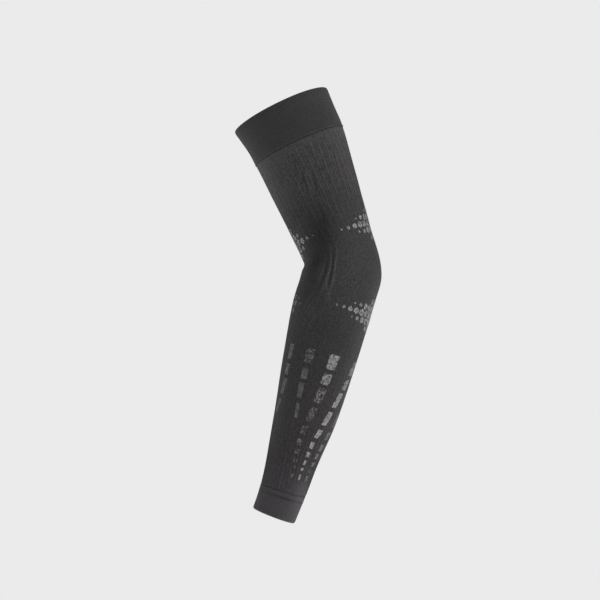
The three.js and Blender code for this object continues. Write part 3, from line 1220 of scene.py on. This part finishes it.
Knit = namedtuple("Knit", "name colour wrist_colour courses speckle fleck fleck_scale bump")
RIBBED_KNIT = Knit("ribbed_knit", CHARCOAL, FOREARM_CHARCOAL, KNIT_COURSES, 0.9, 0.7, 1000, 0.5)
FINE_KNIT = Knit("fine_welt_knit", WELT_CHARCOAL, WRIST_CHARCOAL, 1500, 0.45, 0.2, 900, 0.4)


def start_material(name):
    material = bpy.data.materials.new(name)
    material.use_nodes = True
    shader = material.node_tree.nodes["Principled BSDF"]
    return material, Bench(material.node_tree), shader


def make_knit(knit):
    material, bench, shader = start_material(knit.name)
    stitch = bench.group(knit_stitches, Courses=knit.courses)
    yarn = bench.group(heathered_yarn, Fleck=knit.fleck, Fleck_Scale=knit.fleck_scale)
    shade_and_rubbing = bench.group(rubbed_ribs)
    own = bench.about_one(stitch["Tone"], knit.speckle)
    loops = bench.rise(stitch["Height"], 0.0, LOOP_TOP, *LOOP_TONES)
    # The rib group's tone brings painted light and shade into the base colour.
    tone = bench.product(own, loops, yarn["Tone"], shade_and_rubbing["Tone"])
    violet = bench.rise(bench.map_part("Y"), VIOLET_FULL, VIOLET_FROM, 1.0, 0.0)
    dye = bench.colour("MIX", violet, knit.colour, knit.wrist_colour)
    bench.join(bench.tint(dye, tone), shader.inputs["Base Color"])
    roughness = bench.math("MULTIPLY_ADD", shade_and_rubbing["Rubbed"], -RUB_POLISH, KNIT_ROUGHNESS)
    bench.join(roughness, shader.inputs["Roughness"])
    bench.join(bench.relief(stitch["Height"], knit.bump, LOOP_HEIGHT), shader.inputs["Normal"])
    shader.inputs["Specular IOR Level"].default_value = KNIT_SPECULAR
    shader.inputs["Sheen Weight"].default_value = SHEEN
    shader.inputs["Sheen Roughness"].default_value = SHEEN_ROUGHNESS
    return material


rib_knit = make_knit(RIBBED_KNIT)
welt_knit = make_knit(FINE_KNIT)
print("materials:", rib_knit.name, welt_knit.name)

# %% [markdown]
# ## Seam yarn
#
# The linking yarn is thicker and twisted from two plies. They could be modelled as two strands, but a stitch
# is only about two pixels long in this view. A slanted wave gives it its ply instead.

# %% Seam yarn
SEAM_CHARCOAL = (0.068, 0.0665, 0.067, 1)
SEAM_FLECK = 0.5
SEAM_CLOUD = 0.2
PLY_SCALE = 900
PLY_HEIGHT = 0.1 * MM
PLY_BUMP = 0.5
PLY_ROUGHNESS = (0.9, 0.78)


def make_seam_yarn():
    material, bench, shader = start_material("seam_yarn")
    yarn = bench.group(heathered_yarn, Fleck=SEAM_FLECK, Cloud=SEAM_CLOUD)
    bench.join(bench.tint(SEAM_CHARCOAL, yarn["Tone"]), shader.inputs["Base Color"])
    wave = bench.place("ShaderNodeTexWave", bands_direction="DIAGONAL")
    bench.join(PLY_SCALE, wave.inputs["Scale"])
    bench.join(bench.spot(), wave.inputs["Vector"])
    ply = wave.outputs["Fac"]
    bench.join(bench.relief(ply, PLY_BUMP, PLY_HEIGHT), shader.inputs["Normal"])
    bench.join(bench.rise(ply, 0.0, 1.0, *PLY_ROUGHNESS), shader.inputs["Roughness"])
    shader.inputs["Sheen Weight"].default_value = SHEEN
    return material


seam_yarn = make_seam_yarn()
print("material:", seam_yarn.name)

# %% [markdown]
# ## Print film
#
# Silver ink sits on the stitches and misses the gaps between them. We could give each mark a plain grey,
# but the ink took unevenly. The cover of a mark says how well: at one the film is whole, and lower down it
# breaks into specks and thins out towards the edge. Its brightness is a value of its own: partly the ink's
# own tone, and partly painted light and shade, dimmer on marks in the shade. Where there is no ink, the
# material is the knit below.

# %% Print film
SILVER = (0.36, 0.355, 0.36, 1)
PRINT_SPECKLE = 1.1
PRINT_FLECK = 1.3
PRINT_FLECK_SCALE = 420
SPECK_SCALE = 480
SPECK_DETAIL = 2
SPECK_SPAN = (0.32, 0.68)
STITCH_HOLD = 0.35
EDGE_WIDTH = 0.9
EDGE_COVER = 0.7
INK_SPAN = (-0.08, 0.16)
INK_METALLIC = 0.35
INK_POLISH = 0.4
PRINT_BUMP = 0.4


def make_print_film():
    material, bench, shader = start_material("silver_print")
    stitch = bench.group(knit_stitches)
    yarn = bench.group(heathered_yarn, Fleck=PRINT_FLECK, Fleck_Scale=PRINT_FLECK_SCALE)
    shade_and_rubbing = bench.group(rubbed_ribs)
    specks = bench.rise(bench.noise(SPECK_SCALE, SPECK_DETAIL, bench.spot()), *SPECK_SPAN)
    held = bench.product(specks, 1 - STITCH_HOLD)
    hold = bench.math("MULTIPLY_ADD", stitch["Height"], STITCH_HOLD, held)
    thinned = bench.rise(bench.value_on_points("edge"), 0.0, EDGE_WIDTH, EDGE_COVER, 1.0)
    bare = bench.math("SUBTRACT", 1.0, bench.product(bench.value_on_points("cover"), thinned))
    ink = bench.rise(bench.math("SUBTRACT", hold, bare), *INK_SPAN)
    # The knit below carries the same painted light and shade.
    knit_below = bench.tint(CHARCOAL, bench.product(yarn["Tone"], shade_and_rubbing["Tone"]))
    own = bench.about_one(stitch["Tone"], PRINT_SPECKLE)
    # The brightness value is partly the ink's tone and partly painted light and shade.
    silver = bench.tint(SILVER, bench.product(bench.value_on_points("bright"), yarn["Tone"], own))
    bench.join(bench.colour("MIX", ink, knit_below, silver), shader.inputs["Base Color"])
    bench.join(bench.product(ink, INK_METALLIC), shader.inputs["Metallic"])
    bench.join(bench.math("MULTIPLY_ADD", ink, -INK_POLISH, KNIT_ROUGHNESS), shader.inputs["Roughness"])
    height = bench.math("ADD", stitch["Height"], ink)
    bench.join(bench.relief(height, PRINT_BUMP, LOOP_HEIGHT), shader.inputs["Normal"])
    return material


print_film = make_print_film()
print("material:", print_film.name)

# %% [markdown]
# ## Pieces and their places
#
# Each piece gets its material and rides on the one body that this sleeve has, and the tube and the welts
# hide
# the solids that they stand for. For the knitted pieces the script prints the size that they have off the
# arm:
# the knit stretches round the arm by about a quarter, and hardly at all along it.

# %% Materials, bodies and flat sizes
STRETCH_ROUND = 1.25
GIRTH_STEP = 2


def dress(piece, material, slot, *nodes):
    piece.data.materials.append(material)
    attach(piece, "root")
    if nodes:
        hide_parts(*nodes)


def declare_cloth(piece, start, end):
    """The piece's flat size off the arm, from the girths between its two ends."""
    along = steps(start, end, GIRTH_STEP)
    girths = np.array([round_length(x) for x in along]) / STRETCH_ROUND
    length = abs(end - start)
    print(piece.name, "flat", round(girths.max()), "by", round(length), "mm")


dress(ribbed_tube, rib_knit, "rib_knit", "ribbed_tube")
dress(upper_welt, welt_knit, "welt_knit", "upper_welt")
dress(wrist_welt, welt_knit, "welt_knit", "wrist_welt")
for piece in stitches:
    dress(piece, seam_yarn, "welt_knit")
for piece in (forearm_dashes, elbow_honeycomb):
    dress(piece, print_film, "print_film")
declare_cloth(ribbed_tube, WRIST_SEAM, UPPER_SEAM)
declare_cloth(upper_welt, UPPER_SEAM, UPPER_RIM)
declare_cloth(wrist_welt, WRIST_SEAM, WRIST_RIM)

# %% [markdown]
# ## Floor and backdrop
#
# The studio is an even pale grey with no edge between floor and wall. Lighting a real sweep that evenly is
# hard, so the camera sees floor and world at one fixed brightness. The sleeve meets other ones: a dimmer
# world, and a floor that glows, as a white floor does when it throws the studio's light back up.

# %% Stage
BACKDROP = 0.83
WORLD_LIGHT = 0.28
FLOOR_GREY = 0.6
FLOOR_ROUGHNESS = 0.9
FLOOR_GLOW = 0.7
FLOOR_HEIGHT = -0.6
FLOOR_SIZE = 12.0


def grey(brightness):
    """A colour without a tint."""
    return (brightness, brightness, brightness, 1)


def seen_or_felt(tree, seen, felt):
    """A shader that the camera sees as one thing and the light meets as another."""
    bench = Bench(tree)
    path = bench.place("ShaderNodeLightPath")
    mix = bench.place("ShaderNodeMixShader")
    bench.join(path.outputs["Is Camera Ray"], mix.inputs[0])
    bench.join(felt, mix.inputs[1])
    bench.join(seen, mix.inputs[2])
    return mix.outputs[0]


def make_world():
    world = bpy.data.worlds.new("studio")
    world.use_nodes = True
    bench = Bench(world.node_tree)
    seen = world.node_tree.nodes["Background"]
    felt = bench.place("ShaderNodeBackground")
    for node, brightness in ((seen, BACKDROP), (felt, WORLD_LIGHT)):
        node.inputs["Color"].default_value = grey(brightness)
    shown = seen_or_felt(world.node_tree, seen.outputs[0], felt.outputs[0])
    bench.join(shown, world.node_tree.nodes["World Output"].inputs["Surface"])
    bpy.context.scene.world = world


def make_floor():
    corner = FLOOR_SIZE / 2
    mesh = bpy.data.meshes.new("floor")
    spots = [(-corner, -corner), (corner, -corner), (corner, corner), (-corner, corner)]
    mesh.from_pydata([(x, y, FLOOR_HEIGHT) for x, y in spots], [], [(0, 1, 2, 3)])
    floor = place_object("floor", mesh)
    material, bench, shader = start_material("pale_floor")
    shader.inputs["Base Color"].default_value = grey(FLOOR_GREY)
    shader.inputs["Roughness"].default_value = FLOOR_ROUGHNESS
    shader.inputs["Emission Color"].default_value = grey(1)
    shader.inputs["Emission Strength"].default_value = FLOOR_GLOW
    seen = bench.place("ShaderNodeEmission")
    seen.inputs["Color"].default_value = grey(BACKDROP)
    shown = seen_or_felt(material.node_tree, seen.outputs[0], shader.outputs[0])
    bench.join(shown, material.node_tree.nodes["Material Output"].inputs["Surface"])
    mesh.materials.append(material)
    floor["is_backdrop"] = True


make_world()
make_floor()
bpy.context.scene.view_settings.view_transform = "Standard"
print("stage: backdrop", BACKDROP, "floor at", FLOOR_HEIGHT)

# %% [markdown]
# ## The lamp
#
# Most light comes from all round, from the world and the floor, and leaves the sleeve with a soft form and a
# paler outline. The right side is a little brighter than the left. More lamps could shape it further, but
# each adds a shadow that a white studio doesn't have. One large softbox, high on the right, is enough.

# %% Lamp
LAMP_PLACE = (0.8, -0.45, 0.95)
LAMP_SIZE = (0.7, 0.9)
LAMP_WATTS = 7.3
LAMP_COLOUR = (1.0, 0.94, 0.93)


def make_softbox(name):
    data = bpy.data.lights.new(name, "AREA")
    data.shape = "RECTANGLE"
    data.size, data.size_y = LAMP_SIZE
    data.energy = LAMP_WATTS
    data.color = LAMP_COLOUR
    made = place_object(name, data)
    aim(made, LAMP_PLACE)
    made.visible_camera = False
    return made


softbox = make_softbox("right_softbox")
print("lamp:", softbox.name, "of", LAMP_WATTS, "watts")

# %% [markdown]
# ## Sizes
#
# The dressed sleeve has to stay the size of the solids, so each corner of its box is printed less the same
# corner of theirs.

# %% Sizes
low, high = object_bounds()
for end, dressed, solid in (("low", low, cad_low), ("high", high, cad_high)):
    print("box,", end, "corner: dressed less solid", [round(a - b, 4) for a, b in zip(dressed, solid)])
